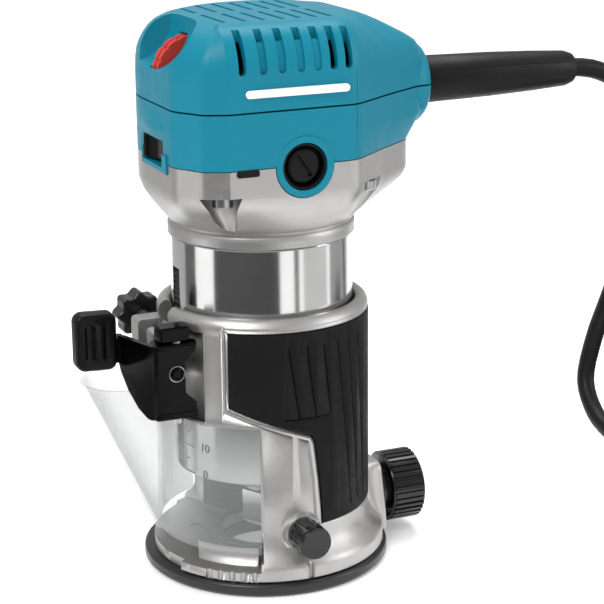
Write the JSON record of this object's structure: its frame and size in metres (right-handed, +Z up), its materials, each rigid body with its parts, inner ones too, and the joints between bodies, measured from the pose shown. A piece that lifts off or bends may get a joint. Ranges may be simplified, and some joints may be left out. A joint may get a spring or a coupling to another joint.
{
  "type": "trim router",
  "caption": "Compact trim router with a motor unit that slides in a round base, side clamp lever, rack depth drive, dust spout and a stored mains lead.",
  "frame": {"origin": "on the surface it stands on, under the middle of the tool's box without the lead", "axes": "+Z up along the spindle, +X towards the lead outlet, -X towards the speed dial and switch"},
  "size_m": [0.312, 0.1225, 0.1999],
  "materials": {
    "cast_metal": "fine matt casting",
    "turned_steel": "bright turned",
    "dark_steel": "plain",
    "black_enamel": "gloss black",
    "shell_plastic": "satin teal",
    "black_plastic": "satin black",
    "grip_rubber": "matt black",
    "cord_rubber": "matt black",
    "clear_plastic": "clear",
    "dial_red": "satin red",
    "board_green": "printed board",
    "brass_parts": "plain",
    "winding_copper": "varnished copper",
    "carbon_parts": "pressed carbon"
  },
  "bodies": {
    "base": {"base_casting": "cast_metal", "sole_plate": "black_plastic", "sole_screw_1": "dark_steel", "sole_screw_2": "dark_steel", "sole_screw_3": "dark_steel", "grip_near": "grip_rubber", "grip_far": "grip_rubber", "dust_nozzle": "clear_plastic", "clamp_bolt": "dark_steel", "clamp_nut": "dark_steel", "lever_pin": "dark_steel", "cord_lead": "cord_rubber", "cord_coil": "cord_rubber", "plug": "cord_rubber"},
    "motor": {"barrel": "turned_steel", "rack_strip": "black_plastic", "motor_casting": "cast_metal", "motor_housing": "shell_plastic", "top_cover": "shell_plastic", "casting_screw_1": "dark_steel", "casting_screw_2": "dark_steel", "casting_screw_3": "dark_steel", "casting_screw_4": "dark_steel", "switch_body": "black_plastic", "controller_board": "board_green", "brush_cap_near": "black_plastic", "brush_cap_far": "black_plastic", "brush_holder_near": "brass_parts", "brush_holder_far": "brass_parts", "carbon_brush_near": "carbon_parts", "carbon_brush_far": "carbon_parts", "brush_spring_near": "dark_steel", "brush_spring_far": "dark_steel", "field_core": "dark_steel", "field_coil_lower": "winding_copper", "field_coil_upper": "winding_copper", "baffle": "black_plastic", "lower_bearing": "dark_steel", "upper_bearing": "dark_steel", "cord_guard": "cord_rubber", "lead_tail": "cord_rubber", "lead_clamp": "black_plastic"},
    "spindle": {"armature_shaft": "dark_steel", "armature_core": "dark_steel", "winding_lower": "winding_copper", "winding_upper": "winding_copper", "commutator": "winding_copper", "cooling_fan": "black_plastic", "collet_nut": "turned_steel", "collet": "turned_steel"},
    "clamp_lever": {"clamp_lever": "black_enamel"},
    "depth_knob": {"depth_knob": "black_plastic", "pinion_shaft": "dark_steel"},
    "rocker": {"rocker": "black_plastic"},
    "speed_dial": {"speed_dial": "dial_red"},
    "guide_knob": {"guide_knob": "black_plastic"},
    "thumb_screw": {"thumb_screw": "black_plastic"}
  },
  "joints": [
    {"name": "depth_slide", "type": "slide", "parent": "base", "child": "motor", "axis": [0, 0, 1], "range_m": [-0.0233, 0.0165]},
    {"name": "spindle_spin", "type": "hinge", "parent": "motor", "child": "spindle", "pos_m": [0.00375, 0.0032, 0.02], "axis": [0, 0, 1], "continuous": true},
    {"name": "depth_knob_turn", "type": "hinge", "parent": "base", "child": "depth_knob", "pos_m": [-0.03345, 0.0032, 0.088], "axis": [0, 1, 0], "range_deg": [-211, 298]},
    {"name": "lever_swing", "type": "hinge", "parent": "base", "child": "clamp_lever", "pos_m": [-0.03575, -0.0158, 0.078], "axis": [0, 0, 1], "range_deg": [0, 90]},
    {"name": "rocker_tilt", "type": "hinge", "parent": "motor", "child": "rocker", "pos_m": [-0.03465, -0.0032, 0.156], "axis": [0, 0, 1], "range_deg": [-10, 0]},
    {"name": "dial_turn", "type": "hinge", "parent": "motor", "child": "speed_dial", "pos_m": [-0.02275, -0.0008, 0.181], "axis": [0, 1, 0], "range_deg": [0, 270]},
    {"name": "guide_knob_turn", "type": "hinge", "parent": "base", "child": "guide_knob", "pos_m": [0.05575, 0.0032, 0.017], "axis": [1, 0, 0], "continuous": true},
    {"name": "thumb_screw_turn", "type": "hinge", "parent": "base", "child": "thumb_screw", "pos_m": [0.00225, -0.0418, 0.0215], "axis": [0, -1, 0], "continuous": true}
  ],
  "couplings": [
    {"joint": "depth_knob_turn", "follows": "depth_slide", "rad_per_m": -222.22}
  ]
}
